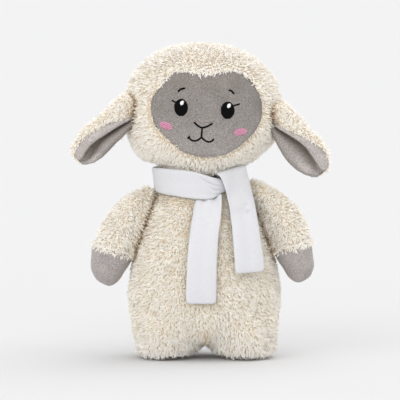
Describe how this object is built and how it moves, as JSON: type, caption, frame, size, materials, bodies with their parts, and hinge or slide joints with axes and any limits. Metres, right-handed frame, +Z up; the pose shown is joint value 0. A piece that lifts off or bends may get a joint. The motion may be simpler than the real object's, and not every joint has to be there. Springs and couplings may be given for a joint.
{
  "type": "plush sheep",
  "caption": "Upright plush sheep with cream fur cloth, a grey velour face, ear linings and mittens, embroidered features, stub legs and a white scarf with hanging tails",
  "frame": {"origin": "on the floor, in the middle of the overall outline, under the body", "axes": "+X to the toy's own left, +Y to its back, +Z up; the face looks along -Y"},
  "size_m": [0.2045, 0.1001, 0.2498],
  "materials": {
    "fur_cloth": "cream fur cloth with a short curly pile, polyester on a knitted backing",
    "velour": "taupe-grey velour, short and matt",
    "scarf_cloth": "white fine-ribbed cotton jersey, doubled and hemmed",
    "black_thread": "black embroidery thread in satin stitch",
    "white_thread": "white thread",
    "pink_thread": "pink embroidery thread in satin stitch",
    "fibre_filling": "white polyester fibre filling, hidden",
    "pellets": "plastic pellets in a sewn cotton bag, hidden"
  },
  "bodies": {
    "torso": {"body_front_panel": "fur_cloth", "body_back_panel": "fur_cloth", "body_filling": "fibre_filling", "pellet_bag": "pellets", "scarf_neckband": "scarf_cloth", "scarf_short_tail_top": "scarf_cloth", "scarf_tack": "white_thread", "left_leg": "fur_cloth", "left_foot_sole": "velour", "right_leg": "fur_cloth", "right_foot_sole": "velour"},
    "head": {"head_front_panel": "fur_cloth", "head_back_panel": "fur_cloth", "head_filling": "fibre_filling", "face_panel": "velour", "nose_and_mouth": "black_thread", "left_eye": "black_thread", "left_eye_highlight": "white_thread", "left_cheek": "pink_thread", "left_brow": "black_thread", "left_lash": "black_thread", "right_eye": "black_thread", "right_eye_highlight": "white_thread", "right_cheek": "pink_thread", "right_brow": "black_thread", "right_lash": "black_thread"},
    "left_ear": {"left_ear_fur": "fur_cloth", "left_ear_lining": "velour"},
    "right_ear": {"right_ear_fur": "fur_cloth", "right_ear_lining": "velour"},
    "left_arm": {"left_sleeve": "fur_cloth", "left_mitten": "velour", "left_arm_filling": "fibre_filling"},
    "right_arm": {"right_sleeve": "fur_cloth", "right_mitten": "velour", "right_arm_filling": "fibre_filling"},
    "long_tail": {"scarf_long_tail": "scarf_cloth"},
    "short_tail": {"scarf_short_tail": "scarf_cloth"}
  },
  "joints": [
    {"name": "head_turn", "type": "hinge", "parent": "torso", "child": "head", "pos_m": [0, 0, 0.145], "axis": [0, 0, 1], "range_deg": [-25, 25], "stiffness_Nm_per_rad": 0.02},
    {"name": "left_ear_flap", "type": "hinge", "parent": "head", "child": "left_ear", "pos_m": [0.06101, -0.019, 0.20879], "axis": [0, -1, 0], "range_deg": [0, 50]},
    {"name": "right_ear_flap", "type": "hinge", "parent": "head", "child": "right_ear", "pos_m": [-0.05293, -0.019, 0.21336], "axis": [0, 1, 0], "range_deg": [0, 50]},
    {"name": "left_arm_lift", "type": "hinge", "parent": "torso", "child": "left_arm", "pos_m": [0.0454, 0, 0.136], "axis": [0, -1, 0], "range_deg": [0, 45]},
    {"name": "right_arm_lift", "type": "hinge", "parent": "torso", "child": "right_arm", "pos_m": [-0.0406, 0, 0.133], "axis": [0, 1, 0], "range_deg": [0, 45]},
    {"name": "long_tail_swing", "type": "hinge", "parent": "torso", "child": "long_tail", "pos_m": [0.00604, -0.03606, 0.1292], "axis": [-0.9967, -0.0815, 0], "range_deg": [0, 80]},
    {"name": "short_tail_swing", "type": "hinge", "parent": "torso", "child": "short_tail", "pos_m": [0.03404, -0.03325, 0.1201], "axis": [-0.9007, -0.4344, 0], "range_deg": [0, 80]}
  ]
}
